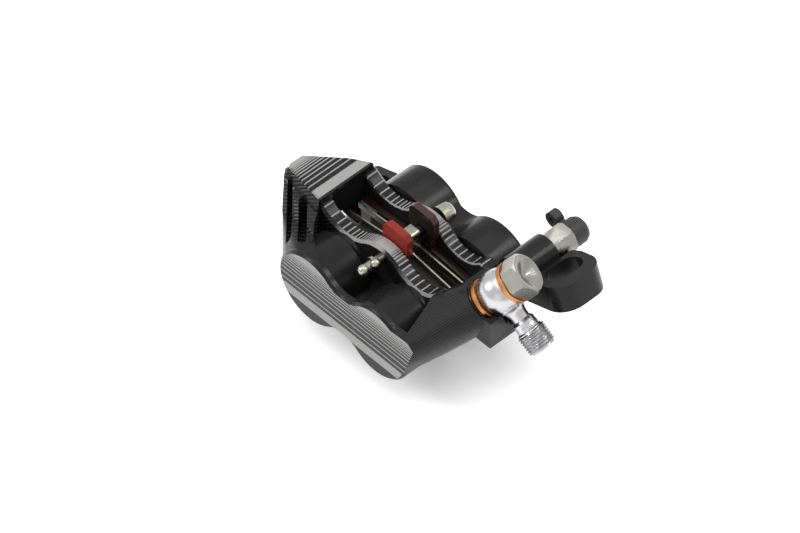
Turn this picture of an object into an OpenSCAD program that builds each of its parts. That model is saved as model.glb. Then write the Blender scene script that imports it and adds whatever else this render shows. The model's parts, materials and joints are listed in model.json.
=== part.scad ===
// Four-piston bicycle disc brake caliper, one-piece body, post mount.
// X runs along the caliper towards the hose, Y along the piston axes away from
// the etched face, Z up out of the pad window. The origin is the middle of the
// four piston axes, in the middle plane of the brake rotor.

/* [Body] */
// Distance between the two piston axes on one side
bore_pitch = 24; // [23:0.5:26]
// Outside radius of a piston lobe
lobe_r = 11.2; // [10.9:0.1:12]
// Half height of the waist between two lobes
waist_half = 7; // [6:0.5:8]
// Rotor plane to the near outer face
near_depth = 23.7; // [23:0.1:26]
// Rotor plane to the far outer face
far_depth = 20.3; // [19.8:0.1:21.5]
// Chamfer round the near face
face_chamfer = 0.7; // [0.3:0.1:1]
// Rounding of the far lobe ends
far_round = 1.2; // [0.8:0.1:2]
// How much lower than the near rim the lobes lie in the cove
cove_step = 0.8; // [0.5:0.1:1.5]
// Thickness of the near rim in front of the cove
rim_t = 2; // [1.5:0.1:3]
// Height of the cove floor above the piston axes
cove_floor = 1; // [0:0.5:3]

/* [Window and rails] */
// Width of the pad window
window_w = 11.3; // [11.2:0.1:12]
// Window end on the plain bridge side, from the pad pin
window_left = 22.6; // [22.4:0.1:24]
// Window end on the hose side, from the pad pin
window_right = 20.3; // [20:0.1:21]
// Thickness of the rail on each side of the window
rail_t = 4.05; // [3.5:0.05:4.5]
// Height of the rails over the pad pin
hump_z = 13.6; // [13.4:0.1:15]
// Height of the rails in their valleys
valley_z = 9; // [8.6:0.1:10]
// Height of the rails at the window ends
rail_end_z = 12.2; // [11.6:0.1:12.8]
// Distance from the hump to the valley on the plain bridge side
valley_left = 14; // [13:0.5:15]
// Distance from the hump to the valley on the hose side
valley_right = 12; // [11:0.5:13]
// Chamfer along the rail edges
rail_chamfer = 0.7; // [0.3:0.1:1]
// Width of the slot that the rotor runs in
rotor_slot_w = 6; // [5:0.25:8]
// Height of the slot roof over the rotor, at the pad pin
rotor_roof = 7.5; // [7:0.25:8]
// Largest rotor that the slot is cut for
rotor_d = 203; // [180:1:220]

/* [Bridges and pillar] */
// Height of the plain bridge at the window
bridge_z = 14.4; // [13.5:0.1:15.5]
// Rise of the plain bridge away from the window, in degrees
bridge_rise = 16; // [8:1:20]
// Length of the plain bridge
bridge_len = 13; // [11:0.5:15]
// Thickness of the hose side end wall at its foot
end_wall_t = 6; // [5:0.25:7]

/* [Post mount] */
// Distance between the two mounting slots
post_pitch = 74.2; // [72:0.1:76]
// Tilt of the mounting plane about the piston direction, in degrees
ear_tilt = 20; // [16:1:24]
// Rotor plane to the middle of the mounting slots
ear_y = 17.5; // [16.5:0.25:19]
// Thickness of a mounting ear
ear_t = 7.5; // [6.5:0.25:9]
// Width of a mounting slot
slot_w = 6.3; // [6.1:0.1:6.6]
// Length of a mounting slot
slot_l = 10.8; // [9:0.1:11.5]

/* [Pistons] */
// Piston diameter
piston_d = 15; // [14:0.25:15.5]
// Piston length
piston_len = 9.6; // [9.3:0.1:10]
// Radial running clearance of a piston in its bore and seal
piston_clear = 0.04; // [0.02:0.01:0.08]
// Width of the square seal
seal_w = 2.2; // [1.8:0.1:2.4]
// Radial height of the square seal
seal_h = 1.2; // [0.8:0.1:1.4]
// Thickness of the screw-in bore cap
cap_t = 2.6; // [2.2:0.1:2.8]

/* [Pads] */
// Thickness of a pad backing plate
backing_t = 2; // [1.6:0.1:2.2]
// Thickness of a pad lining
lining_t = 2; // [1.6:0.1:2.2]
// Half width of the hanging tab of a pad
tab_half = 4.5; // [4:0.25:5]
// Height of the tab top
tab_z = 18; // [16:0.5:19]
// Free play between a pad and the ends of the window
pad_play = 0.4; // [0.3:0.05:0.6]

/* [Pad pin and spring] */
// Pad pin diameter
pin_d = 2.6; // [2.2:0.1:2.8]
// Height of the pad pin above the piston axes
pin_z = 11.5; // [11.2:0.1:11.6]
// Pin length that stands out of the near rail
pin_out = 6.6; // [5.5:0.1:8]
// Diameter of the pin head
pin_head_d = 5.8; // [4.6:0.2:6]
// Width of the pad spring strip
spring_w = 2.6; // [2:0.1:2.8]
// Thickness of the pad spring strip
spring_t = 0.4; // [0.35:0.05:0.5]

/* [Hose banjo] */
// Turn of the banjo bolt about the vertical, in degrees
port_turn = 47; // [44:1:50]
// Rise of the banjo bolt above the horizontal, in degrees
port_rise = 45; // [43:1:47]
// Banjo ball diameter
ball_d = 12; // [11.6:0.1:12.4]
// Width of the banjo over its two flats
eye_w = 7.4; // [7:0.1:7.8]
// Copper washer diameter
washer_d = 11.2; // [10.6:0.1:11.6]
// Copper washer thickness
washer_t = 1.2; // [0.8:0.1:1.5]
// Banjo bolt shank diameter
bolt_d = 6; // [5.5:0.1:6.5]
// Banjo bolt size over its hexagon flats
bolt_af = 10; // [9:0.5:11]
// Length of the banjo arm from the middle of the ball
arm_len = 17.8; // [17:0.1:19]
// Outside diameter of the hose thread
thread_d = 8; // [7:0.25:8.5]
// Length of the hose thread
thread_len = 6.2; // [5:0.1:7]

/* [Bleed nipple] */
// Nipple size over its hexagon flats
nipple_af = 8; // [7:0.5:9]
// Nipple thread diameter
nipple_d = 6; // [5:0.25:6.5]
// Outside diameter of the rubber cap
dust_d = 7.5; // [7:0.1:8]
// Diameter of the boss that the nipple screws into
bleed_boss_d = 10; // [9:0.25:11]

/* [Hidden] */
$fn = 64;
eps = 0.01;
far_out = 60;
// Clearance between pieces that are fixed to each other
fixed_clear = 0.02;
// Arcs that would only touch cross by this much instead
arc_bite = 0.03;
// Clearance between flat faces that slide or turn on each other
face_clear = 0.05;
half_pitch = bore_pitch / 2;
win_half = window_w / 2;
rail_out = win_half + rail_t;
piston_r = piston_d / 2;
bore_r = piston_r + piston_clear;

// Fillets of the waist touch both lobes
fillet_r = (half_pitch * half_pitch + waist_half * waist_half - lobe_r * lobe_r)
    / (2 * (lobe_r - waist_half));
fillet_z = waist_half + fillet_r;
lobe_share = lobe_r / (lobe_r + fillet_r);
waist_x = half_pitch * (1 - lobe_share);
waist_top = fillet_z * lobe_share;

// Rail wave: arcs of one radius on each side of the hump
hump_x = -0.5;
wave_h = hump_z - valley_z;
function wave_r(run) = (run * run + wave_h * wave_h) / (4 * wave_h);
wave_mid_z = (hump_z + valley_z) / 2;
rail_foot = 0;
slot_r = rotor_d / 2 + 1.5;
edge_break = 0.35;

// Pads, measured outwards from the rotor plane
backing_out = win_half - 0.15;
backing_in = backing_out - backing_t;
lining_in = backing_in - lining_t;
piston_face = backing_out + 0.1;
pad_left = -(window_left - pad_play);
pad_right = window_right - pad_play;
pad_foot = -10;
pad_shoulder = 6.6;
lining_half = 16.5;
tab_neck = 3.4;

// Pad spring: a square arch over the pin, with wings that droop away from it
arch_half = pin_d / 2 + 0.45;
arch_top = pin_z + 2.45;
arch_corner = 0.75;
wing_y = spring_w / 2 + face_clear;
wing_toe = 1.4;
wing_top = 8.3;
wing_h = 1.8;
wing_slope = 0.1;
left_wing = 21;
right_wing = 17.5;
wing_gap = 0.35;
function wing_z(x) = wing_top - (x - arch_half) * wing_slope;
function lining_z(x) = wing_z(x) - wing_h - wing_gap;

// Seals, chambers and bore caps, measured outwards from the rotor plane
seal_y = piston_face + piston_len - 0.7 - seal_w;
chamber_end = near_depth - 3.2;
cap_seat = far_depth - cap_t;
cap_r = bore_r + 1.9;
oring_r = bore_r + 0.9;
oring_t = 1;

// Plain bridge, with a bevel at its outer end
bridge_foot = -4;
bridge_end = window_left + bridge_len;
end_bevel = 1.1;

// Waist of the pillar, halfway between the plain bridge and the near left lobe
pillar_y = -16;
pillar_z = 9.8;
pocket_floor = 3;

// Mounting ears in their tilted plane
mount_mid = [1.7, ear_y, 3.2];
ear_half = 7;
ear_near = slot_l / 2 + 2.6;
ear_far = slot_l / 2 + 2.3;
ear_near_round = 6;
right_corner = 5;
left_corner = 2;
right_arm = 15;
left_arm = 17;

// Hose port: the ball is the reference of everything on the banjo axis
ball_at = [31.27, 0.74, 16.05];
arm_turn = -31;
seat_drop = eye_w / 2 + washer_t + face_clear;
seat_r = washer_d / 2 + 0.4;
port_depth = 9;
arm_r = 2.3;
arm_collar_r = 3;
hose_bore_r = 1.4;
thread_start = arm_len - thread_len;
bolt_grip = 7;
bolt_head = 4.8;
hex_turn = 15;
swing_clear = 1.2;

// Bleed boss and nipple on one axis along Y
bleed_x = 27.5;
bleed_z = 12.8;
bleed_face = 20.5;
bleed_depth = 9;
hex_gap = 0.4;
bleed_hex = 6.4;
nipple_barrel_r = 2;
nipple_tip = 3.5;

// Placing helpers

// A flat XZ outline made solid between two values of Y
module slab(y0, y1) {
    translate([0, y1, 0]) rotate([90, 0, 0]) linear_extrude(y1 - y0) children();
}

// A round bar or cone along Y
module y_bar(x, z, y0, y1, r0, r1) {
    translate([x, y0, z]) rotate([-90, 0, 0]) cylinder(h = y1 - y0, r1 = r0, r2 = r1);
}

// A block between two corners
module block(low, high) {
    translate(low) cube(high - low);
}

// Both sides of the rotor plane
module both_sides() {
    children();
    mirror([0, 1, 0]) children();
}

// Local axes with Z along the banjo bolt and the ball's middle as origin
module on_port() {
    translate(ball_at) rotate([0, 90 - port_rise, port_turn]) children();
}

// The port's axes turned so that Z runs along the banjo arm
module on_arm() {
    on_port() rotate([0, 0, arm_turn]) rotate([0, 90, 0]) children();
}

// The plane of the mounting ears, origin at one slot's middle on the top face
module on_ear(side) {
    translate(mount_mid) rotate([0, -ear_tilt, 0]) translate([side * post_pitch / 2, 0, 0]) children();
}

// Caliper body

// Two lobes and their waist, flat
module lobe_outline() {
    difference() {
        union() {
            for (side = [-1, 1]) translate([side * half_pitch, 0]) circle(lobe_r);
            square([2 * waist_x, 2 * waist_top], center = true);
        }
        for (side = [-1, 1]) translate([0, side * fillet_z]) circle(fillet_r + arc_bite);
    }
}

// A turned piece round an axis along Y, from an outline of radius and Y
module y_turned(x, z, outline) {
    translate([x, 0, z]) rotate([-90, 0, 0]) rotate_extrude() polygon(outline);
}

// Near half: lobes and waist with a chamfer that runs round the etched face
module near_half() {
    lobe = [[0, rail_out], [lobe_r, rail_out], [lobe_r, near_depth - face_chamfer],
        [lobe_r - face_chamfer, near_depth], [0, near_depth]];
    hollow_r = fillet_r + arc_bite;
    hollow = [[0, 0], [hollow_r, 0], [hollow_r, near_depth - face_chamfer],
        [hollow_r + 2 * face_chamfer, near_depth + face_chamfer], [0, near_depth + face_chamfer]];
    mirror([0, 1, 0]) difference() {
        union() {
            for (side = [-1, 1]) y_turned(side * half_pitch, 0, lobe);
            block([-waist_x, rail_out, -waist_top], [waist_x, near_depth, waist_top]);
        }
        for (side = [-1, 1]) y_turned(0, side * fillet_z, hollow);
    }
}

// Far half: two lobes with rounded ends and a waist that stops short of the rounding
module far_half() {
    slab(rail_out, far_depth - far_round) lobe_outline();
    for (side = [-1, 1]) translate([side * half_pitch, 0, 0]) rotate([-90, 0, 0]) rotate_extrude() {
        translate([0, rail_out]) square([lobe_r - far_round, far_depth - rail_out]);
        translate([0, rail_out]) square([lobe_r, far_depth - far_round - rail_out]);
        intersection() {
            translate([lobe_r - far_round, far_depth - far_round]) circle(far_round);
            square([lobe_r, far_depth]);
        }
    }
}

// One layer of a rail, whose wavy top is lowered by drop0 at y0 and by drop1 at y1
module rail_layer(y0, y1, drop0, drop1) {
    runs = [[-1, valley_left, -window_left - 1.5], [1, valley_right, window_right + 1.5]];
    for (run = runs) {
        side = run[0];
        radius = wave_r(run[1]);
        hollow_r = radius + arc_bite;
        mid_x = hump_x + side * run[1] / 2;
        valley_x = hump_x + side * run[1];
        difference() {
            union() {
                intersection() {
                    y_bar(hump_x, hump_z - radius, y0, y1, radius - drop0, radius - drop1);
                    block([min(mid_x, hump_x), y0, valley_z - 1], [max(mid_x, hump_x), y1, hump_z]);
                }
                block([min(valley_x, mid_x + side * -0.5), y0, rail_foot],
                    [max(valley_x, mid_x + side * -0.5), y1, wave_mid_z]);
                block([min(mid_x, hump_x), y0, rail_foot], [max(mid_x, hump_x), y1, valley_z]);
                rail_end(min(valley_x, run[2]), max(valley_x, run[2]), y0, y1, drop0, drop1);
            }
            y_bar(valley_x, valley_z + radius, y0 - eps, y1 + eps, hollow_r + drop0, hollow_r + drop1);
        }
    }
}

// The level stretch of a rail layer at one end of the window
module rail_end(x0, x1, y0, y1, drop0, drop1) {
    outline = [[y0, rail_foot], [y1, rail_foot], [y1, rail_end_z - drop1], [y0, rail_end_z - drop0]];
    translate([x0, 0, 0]) rotate([90, 0, 90]) linear_extrude(x1 - x0) polygon(outline);
}

// One rail: broken inner edge, full middle and chamfered outer edge
module rail() {
    inner = win_half + edge_break;
    outer = rail_out - rail_chamfer;
    rail_layer(win_half, inner, edge_break, 0);
    rail_layer(inner, outer, 0, 0);
    rail_layer(outer, rail_out, 0, rail_chamfer);
}

// Lower walls between the two halves, a little inside the lobes, up to the foot of the rails
module middle() {
    relief = 0.4;
    slab(-rail_out, rail_out) intersection() {
        union() {
            for (side = [-1, 1]) translate([side * half_pitch, 0]) circle(lobe_r - relief);
            square([2 * half_pitch, 2 * (waist_half - relief)], center = true);
        }
        translate([-far_out, -far_out]) square([2 * far_out, far_out + valley_z - 1]);
    }
}

// Side outline of the plain bridge
module bridge_side(end) {
    end_z = bridge_z + (end - window_left) * tan(bridge_rise);
    polygon([[-window_left, bridge_foot], [-window_left, bridge_z],
        [end_bevel - end, end_z - end_bevel * tan(bridge_rise)],
        [-end, end_z - 1.5 * end_bevel], [-end, bridge_foot]]);
}

// Plain bridge, cut away along a diagonal on the far side
module plain_bridge() {
    corner = 1.5;
    cut_start = -5.2;
    cut_end = 8;
    intersection() {
        slab(-rail_out, rail_out) bridge_side(bridge_end);
        translate([0, 0, bridge_foot]) linear_extrude(far_out) polygon([
            [-window_left + 2, -rail_out], [-bridge_end + corner, -rail_out],
            [-bridge_end, -rail_out + corner], [-bridge_end + corner / 2, cut_start],
            [-window_left - 4.5, cut_end - 3.5], [-window_left - corner / 2, cut_end],
            [-window_left + 2, rail_out]]);
    }
}

// A thin slice of the pillar at one Y, whose top runs from one point to another
module pillar_slice(y, left, right, inset) {
    low = bridge_foot + inset;
    slab(y - 0.2, y + 0.2) polygon([left + [inset, -inset], right - [inset, inset],
        [right[0] + 2 - inset, low], [left[0] + 1 + inset, low]]);
}

// Pillar from the plain bridge down to the near left lobe: it falls steeply from the bridge, runs
// level at its waist and ends a little inside the lobe's rim
module pillar() {
    sunk_r = lobe_r - 0.5;
    front = -near_depth + face_chamfer + 0.2;
    step_y = -rail_out - 1.8;
    step_left = [-bridge_end + 1.6, bridge_z + 1.2];
    step_right = [-window_left + 0.6, bridge_z - 2.8];
    waist_left = [-bridge_end + 5.8, pillar_z + 0.1];
    waist_right = [-window_left + 4.6, pillar_z - 0.1];
    hull() {
        slab(-rail_out - 0.3, -rail_out + 0.4) translate([0, -0.15]) bridge_side(bridge_end - 0.3);
        pillar_slice(step_y, step_left, step_right, 0);
    }
    hull() {
        pillar_slice(step_y, step_left, step_right, 0.08);
        pillar_slice(pillar_y, waist_left, waist_right, 0);
    }
    hull() {
        pillar_slice(pillar_y, waist_left, waist_right, 0.08);
        y_bar(-half_pitch, 0, front, front + rim_t / 2, sunk_r, sunk_r, $fn = 48);
    }
}

// Two lightening pockets slantwise along the pillar, each with its X at the waist, width and length
module pillar_pockets() {
    for (pocket = [[-window_left - 4.7, 1.4, 14.5], [-window_left + 0.1, 2.2, 13]])
        translate([pocket[0], pillar_y, pocket_floor]) rotate([0, 0, -45]) linear_extrude(far_out) {
            straight = pocket[2] - pocket[1];
            square([straight, pocket[1]], center = true);
            for (end = [-1, 1]) translate([end * straight / 2, 0]) circle(pocket[1] / 2);
        }
}

// Hose side end wall: it rises from the etched face to the banjo seat
module end_wall() {
    foot_x = window_right + end_wall_t;
    wall_z = rail_end_z - 0.2;
    rim_z = 9.2;
    tail_z = -3;
    inner = [[window_right, bridge_foot], [window_right, wall_z], [window_right + 3, wall_z],
        [foot_x, 4], [foot_x - 0.5, -2], [foot_x - 3, bridge_foot - 1]];
    outer = [[half_pitch, tail_z], [half_pitch, rim_z - 0.7], [window_right + 1.5, rim_z],
        [window_right + 3.6, rim_z], [foot_x - 0.5, rim_z - 1.7], [half_pitch + lobe_r - 0.7, tail_z]];
    hull() {
        slab(-near_depth, -near_depth + face_chamfer) polygon(outer);
        slab(-rail_out - face_chamfer, -rail_out) polygon(inner);
        on_port() translate([0, 0, -seat_drop - 4]) cylinder(h = 3.6, r = seat_r + 0.5, $fn = 32);
    }
    slab(-rail_out, rail_out + 2) polygon(inner);
}

// Flat outline of a mounting ear, with its arm towards the body
module ear_outline(arm, far_corner) {
    near_y = -ear_near + ear_near_round;
    far_y = ear_far - far_corner;
    near_x = ear_half - ear_near_round;
    far_x = ear_half - far_corner;
    arm_y = far_depth - ear_y - 0.5;
    polygon([[-arm, -ear_near], [near_x, -ear_near], [near_x, near_y], [ear_half, near_y],
        [ear_half, far_y], [far_x, far_y], [far_x, ear_far], [-2, ear_far], [-arm, arm_y]]);
    translate([near_x, near_y]) circle(ear_near_round);
    translate([far_x, far_y]) circle(far_corner);
}

// Mounting ear on one side: 1 is the hose side
module ear(side, arm, far_corner) {
    on_ear(side) translate([0, 0, -ear_t]) linear_extrude(ear_t)
        mirror([side < 0 ? 1 : 0, 0]) ear_outline(arm, far_corner);
}

// Mounting slot, cut through an ear
module ear_slot(side) {
    straight = slot_l - slot_w;
    on_ear(side) translate([0, 0, -ear_t - 2]) linear_extrude(ear_t + 12) {
        square([slot_w, straight], center = true);
        for (end = [-1, 1]) translate([0, end * straight / 2]) circle(slot_w / 2);
    }
}

// Lug under the banjo arm
module banjo_lug() {
    lug_near = -7;
    lug_far = 4.2;
    lug_foot = 4.4;
    lug_top = 13.3;
    block([window_right + 2, lug_near, lug_foot], [ball_at[0] + 4.6, lug_far, lug_top]);
}

// Everything the hose port takes out of the body
module port_cuts() {
    on_port() {
        translate([0, 0, -seat_drop]) cylinder(h = far_out, r = seat_r + 0.4);
        translate([0, 0, -seat_drop - bolt_grip - 0.6])
            cylinder(h = bolt_grip + 1, r = bolt_d / 2 + fixed_clear);
    }
    on_arm() cylinder(h = arm_len, r1 = arm_r + swing_clear / 2, r2 = thread_d / 2 + swing_clear);
}

// One piston bore with its seal groove, on the far side of the rotor plane
module bore(x, depth) {
    y_bar(x, 0, 0, depth, bore_r, bore_r);
    y_bar(x, 0, seal_y, seal_y + seal_w, bore_r + seal_h, bore_r + seal_h);
}

// Seat of a screw-in bore cap and its sealing ring
module cap_pocket(x) {
    y_bar(x, 0, cap_seat, far_out, cap_r, cap_r);
    groove_r = oring_r + oring_t / 2 + face_clear;
    y_bar(x, 0, cap_seat - oring_t, cap_seat + eps, groove_r, groove_r);
}

// Cove in front of the near rail: the lobes stay standing in it, with a bevel towards the rail
module cove() {
    front = -near_depth + rim_t;
    bevel = 1.4;
    bevel_y = -rail_out - 2.6;
    standing_r = lobe_r - cove_step;
    difference() {
        translate([0, 0, cove_floor]) linear_extrude(far_out) polygon([
            [-half_pitch - 11, -rail_out], [-half_pitch - 8.4, pillar_y + 2], [-half_pitch - 6.6, pillar_y],
            [-half_pitch - 4.4, pillar_y - 1.8], [-half_pitch + 1.7, front], [window_right + 1.4, front],
            [window_right, -rail_out - 4], [window_right - 1.6, -rail_out]]);
        for (x = [-half_pitch, half_pitch]) {
            y_bar(x, 0, front - 1, bevel_y, standing_r, standing_r);
            y_bar(x, 0, bevel_y, bevel_y + bevel, standing_r, standing_r - bevel);
            y_bar(x, 0, bevel_y, 0, standing_r - bevel, standing_r - bevel);
        }
    }
}

module caliper_body() {
    boss_r = bleed_boss_d / 2;
    pin_hole_r = pin_d / 2 + fixed_clear;
    head_hole_r = pin_head_d / 2 + 0.3;
    nipple_hole_r = nipple_d / 2 + face_clear;
    spot_face_r = nipple_af / 2 / cos(30) + 0.5;
    color([0.13, 0.13, 0.14]) difference() {
        union() {
            difference() {
                union() {
                    near_half();
                    pillar();
                    end_wall();
                }
                cove();
                pillar_pockets();
            }
            far_half();
            middle();
            both_sides() rail();
            plain_bridge();
            ear(1, right_arm, right_corner);
            ear(-1, left_arm, left_corner);
            banjo_lug();
            on_port() translate([0, 0, -seat_drop - port_depth]) cylinder(h = port_depth, r = seat_r);
            y_bar(bleed_x, bleed_z, rail_out - 1, bleed_face, boss_r, boss_r);
        }
        block([-window_left, -win_half, -far_out], [window_right, win_half, far_out]);
        y_bar(0, rotor_roof - slot_r, -rotor_slot_w / 2, rotor_slot_w / 2, slot_r, slot_r, $fn = 180);
        for (x = [-half_pitch, half_pitch]) {
            mirror([0, 1, 0]) bore(x, chamber_end);
            bore(x, far_depth + 1);
            cap_pocket(x);
        }
        y_bar(0, pin_z, -far_out, far_out, pin_hole_r, pin_hole_r);
        y_bar(0, pin_z, rail_out, far_depth + 1, head_hole_r, head_hole_r);
        ear_slot(1);
        ear_slot(-1);
        port_cuts();
        y_bar(bleed_x, bleed_z, bleed_face - bleed_depth, far_out, nipple_hole_r, nipple_hole_r);
        y_bar(bleed_x, bleed_z, bleed_face, far_out, spot_face_r, spot_face_r);
    }
}

// Pistons, seals and caps

// A cup piston on the far side, open towards the pad
module piston(x) {
    crown = 2.5;
    cup_r = piston_r - 2.2;
    color([0.72, 0.72, 0.70]) difference() {
        y_bar(x, 0, piston_face, piston_face + piston_len, piston_r, piston_r);
        y_bar(x, 0, 0, piston_face + piston_len - crown, cup_r, cup_r);
    }
}

// A square-section seal round a far piston
module piston_seal(x) {
    outer_r = bore_r + seal_h - fixed_clear;
    color([0.1, 0.1, 0.1]) difference() {
        y_bar(x, 0, seal_y + fixed_clear, seal_y + seal_w - fixed_clear, outer_r, outer_r);
        y_bar(x, 0, 0, far_out, bore_r, bore_r);
    }
}

// A screw-in cap that closes a far bore, with two holes for a pin tool
module bore_cap(x) {
    dish_r = cap_r - 1.6;
    tool_r = 1.2;
    tool_at = cap_r - 3.6;
    color([0.14, 0.14, 0.15]) difference() {
        y_bar(x, 0, cap_seat, far_depth, cap_r - fixed_clear, cap_r - fixed_clear);
        y_bar(x, 0, far_depth - 0.6, far_out, dish_r, dish_r);
        for (side = [-1, 1]) y_bar(x + side * tool_at, 0, far_depth - 1.6, far_out, tool_r, tool_r);
    }
}

// The round sealing ring under a bore cap
module cap_oring(x) {
    color([0.08, 0.08, 0.08]) translate([x, cap_seat - oring_t / 2, 0]) rotate([-90, 0, 0])
        rotate_extrude() translate([oring_r, 0]) circle(oring_t / 2 - fixed_clear);
}

// Pads, spring and pin

// Backing plate of the far pad, whose shoulders slope down from the tab
module pad_backing() {
    end_z = 5;
    foot_bevel = 4;
    tab_bevel = 1.5;
    neck_z = pin_z - 2;
    hole_r = pin_d / 2 + 0.3;
    color([0.55, 0.13, 0.11]) difference() {
        slab(backing_in, backing_out) polygon([
            [pad_left, pad_foot + foot_bevel], [pad_left + foot_bevel + 1, pad_foot],
            [pad_right - foot_bevel - 1, pad_foot], [pad_right, pad_foot + foot_bevel],
            [pad_right, end_z], [tab_neck, pad_shoulder], [tab_neck, neck_z], [tab_half, pin_z],
            [tab_half, tab_z - tab_bevel], [tab_half - tab_bevel, tab_z], [tab_bevel - tab_half, tab_z],
            [-tab_half, tab_z - tab_bevel], [-tab_half, pin_z], [-tab_neck, neck_z],
            [-tab_neck, pad_shoulder], [pad_left, end_z]]);
        y_bar(0, pin_z, 0, far_out, hole_r, hole_r);
    }
}

// Lining of the far pad, bevelled under the spring wings
module pad_lining() {
    foot_bevel = 4;
    foot_z = pad_foot + 0.6;
    end_z = lining_z(lining_half);
    top_z = lining_z(arch_half);
    color([0.24, 0.21, 0.19]) slab(lining_in, backing_in) polygon([
        [-lining_half, pad_foot + foot_bevel], [-lining_half + foot_bevel, foot_z],
        [lining_half - foot_bevel, foot_z], [lining_half, pad_foot + foot_bevel],
        [lining_half, end_z], [arch_half, top_z], [-arch_half, top_z], [-lining_half, end_z]]);
}

// A point of the arch's rounded corner on one side, at an angle above the level
function corner_point(side, angle) =
    [side * (arch_half - arch_corner * (1 - cos(angle))), arch_top - arch_corner * (1 - sin(angle))];

// Centre line of the spring's arch: riser, rounded corners and flat top, riser
spring_line = concat(
    [[-arch_half, wing_top - wing_h]],
    [for (angle = [0:15:90]) corner_point(-1, angle)],
    [for (angle = [90:-15:0]) corner_point(1, angle)],
    [[arch_half, wing_top - wing_h]]);

// Unit normal of the spring line at one point, from its neighbours
function line_normal(line, i) =
    let (a = line[max(i - 1, 0)], b = line[min(i + 1, len(line) - 1)], d = b - a)
    [-d[1], d[0]] / norm(d);

// One upright wing of the spring on the far side, which leads away from the arch and a little outwards
module spring_wing(reach) {
    translate([0, wing_y, 0]) rotate([0, 0, wing_toe]) slab(-spring_t / 2, spring_t / 2) polygon([
        [arch_half, wing_top - wing_h], [arch_half, wing_top],
        [reach, wing_z(reach)], [reach, wing_z(reach) - wing_h]]);
}

module pad_spring() {
    last = len(spring_line) - 1;
    upper = [for (i = [0:last]) spring_line[i] + line_normal(spring_line, i) * spring_t / 2];
    lower = [for (i = [last:-1:0]) spring_line[i] - line_normal(spring_line, i) * spring_t / 2];
    color([0.66, 0.64, 0.58]) {
        slab(-spring_w / 2, spring_w / 2) polygon(concat(upper, lower));
        both_sides() {
            spring_wing(right_wing);
            mirror([1, 0, 0]) spring_wing(left_wing);
        }
    }
}

// Place of the pin's groove and of the clip in it
clip_y = -(rail_out + 3.4);
clip_t = 0.8;
clip_groove_r = pin_d / 2 - 0.3;

// Pad pin: ball tip on the near side, tapered screw head with a hexagon socket on the far side
module pad_pin() {
    tip_r = pin_d / 2 + 0.25;
    tip_y = -(rail_out + pin_out);
    head_y = rail_out + face_clear;
    head_len = 3.9;
    taper = 0.6;
    head_r = pin_head_d / 2;
    socket_r = 1.45;
    socket_depth = 2;
    groove = clip_t / 2 + face_clear;
    color([0.66, 0.64, 0.58]) difference() {
        union() {
            y_bar(0, pin_z, tip_y, head_y, pin_d / 2, pin_d / 2);
            translate([0, tip_y, pin_z]) sphere(tip_r);
            y_bar(0, pin_z, head_y, head_y + head_len - taper, head_r, head_r - 0.4);
            y_bar(0, pin_z, head_y + head_len - taper, head_y + head_len, head_r - 0.4, head_r - 1);
        }
        difference() {
            y_bar(0, pin_z, clip_y - groove, clip_y + groove, pin_d, pin_d);
            y_bar(0, pin_z, clip_y - clip_t, clip_y + clip_t, clip_groove_r, clip_groove_r);
        }
        y_bar(0, pin_z, head_y + head_len - socket_depth, far_out, socket_r, socket_r, $fn = 6);
    }
}

// Spring clip in the pin's groove, with a bead to pull it by
module pin_clip() {
    ring_r = pin_d / 2 + 0.7;
    bead_r = 1.4;
    bead_at = [1, clip_y, pin_z + 0.9];
    mouth = 0.6;
    grip_r = clip_groove_r + fixed_clear;
    color([0.68, 0.65, 0.58]) difference() {
        union() {
            y_bar(0, pin_z, clip_y - clip_t / 2, clip_y + clip_t / 2, ring_r, ring_r);
            translate(bead_at) sphere(bead_r);
        }
        y_bar(0, pin_z, clip_y - clip_t / 2 - eps, clip_y + clip_t / 2 + eps, grip_r, grip_r);
        difference() {
            y_bar(0, pin_z, clip_y - 2 * bead_r, clip_y + 2 * bead_r, pin_d / 2 + 0.1, pin_d / 2 + 0.1);
            y_bar(0, pin_z, clip_y - clip_t / 2, clip_y + clip_t / 2, pin_d, pin_d);
        }
        block([-mouth, clip_y - clip_t, pin_z - pin_d - 1], [mouth, clip_y + clip_t, pin_z]);
    }
}

// Hose banjo

// Ball with two flats, arm and hose thread
module hose_banjo() {
    thread_r = thread_d / 2;
    chamfer = 0.8;
    groove_r = thread_r - 0.9;
    color([0.85, 0.85, 0.86]) difference() {
        union() {
            on_port() intersection() {
                sphere(ball_d / 2);
                cube([ball_d + 1, ball_d + 1, eye_w], center = true);
            }
            on_arm() rotate_extrude() polygon([[0, 0], [arm_r + 0.6, 0], [arm_r, ball_d / 2 + 1],
                [arm_r, thread_start - 3], [arm_collar_r, thread_start - 1.6],
                [groove_r, thread_start - 0.6], [groove_r, thread_start],
                [thread_r, thread_start + chamfer], [thread_r, arm_len - chamfer],
                [thread_r - chamfer, arm_len], [0, arm_len]]);
        }
        on_port() translate([0, 0, -eye_w]) cylinder(h = 2 * eye_w, r = bolt_d / 2 + face_clear);
        on_arm() cylinder(h = arm_len + 1, r = hose_bore_r);
    }
}

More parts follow.
